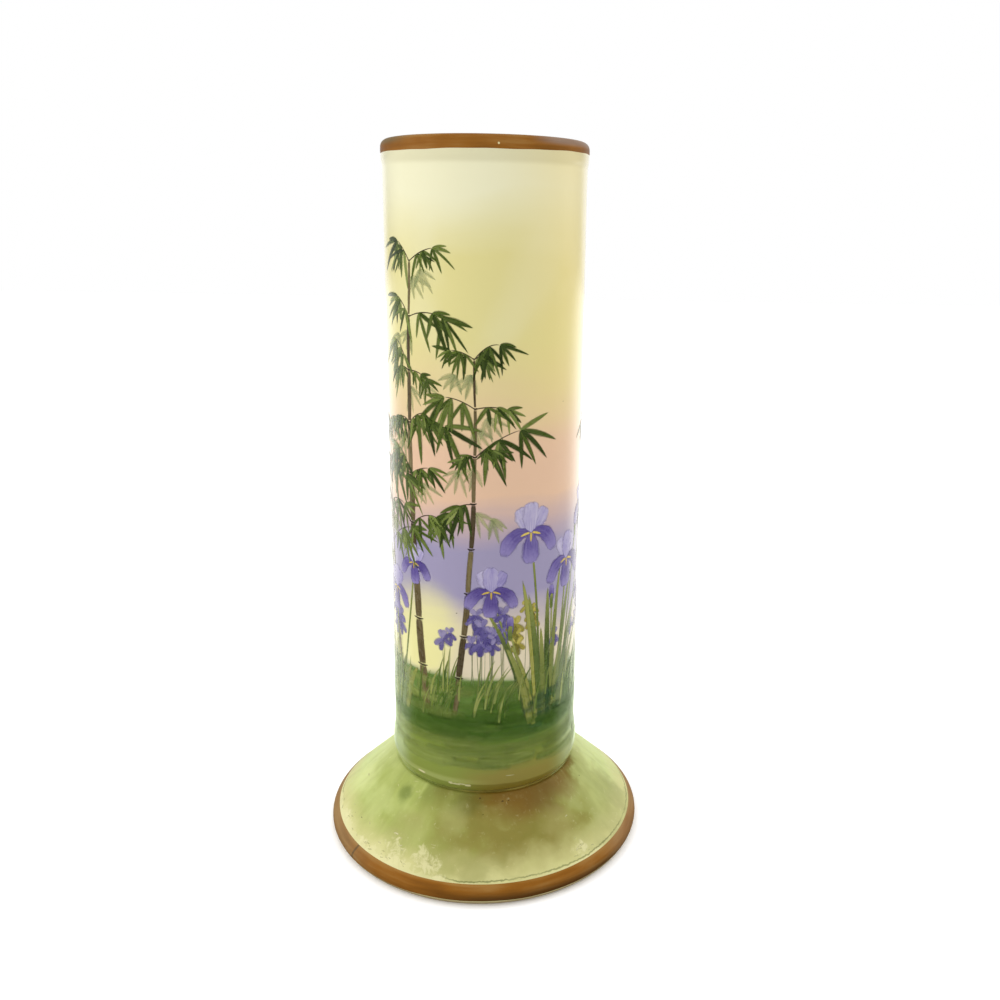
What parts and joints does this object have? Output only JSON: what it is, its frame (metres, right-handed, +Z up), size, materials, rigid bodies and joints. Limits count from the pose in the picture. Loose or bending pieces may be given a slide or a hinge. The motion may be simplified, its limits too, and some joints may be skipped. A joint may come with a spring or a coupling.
{
  "type": "bud vase",
  "caption": "Slim round porcelain bud vase: an upright open tube with a rounded lip, set in the socket of a flared hollow foot.",
  "frame": {"origin": "centre of the flat ring that the vase stands on", "axes": "+Z up along the axis of the tube; the vase is round, so X and Y are free, with -Y as the front"},
  "size_m": [0.0688, 0.0688, 0.1442],
  "materials": {
    "tube_glaze": "gloss",
    "foot_glaze": "gloss",
    "slip": "satin",
    "brown_band": "satin"
  },
  "bodies": {
    "root": {"vase_tube": "tube_glaze", "saucer_foot": "foot_glaze", "slip_joint": "slip", "rim_band": "brown_band", "foot_band": "brown_band"}
  },
  "joints": []
}
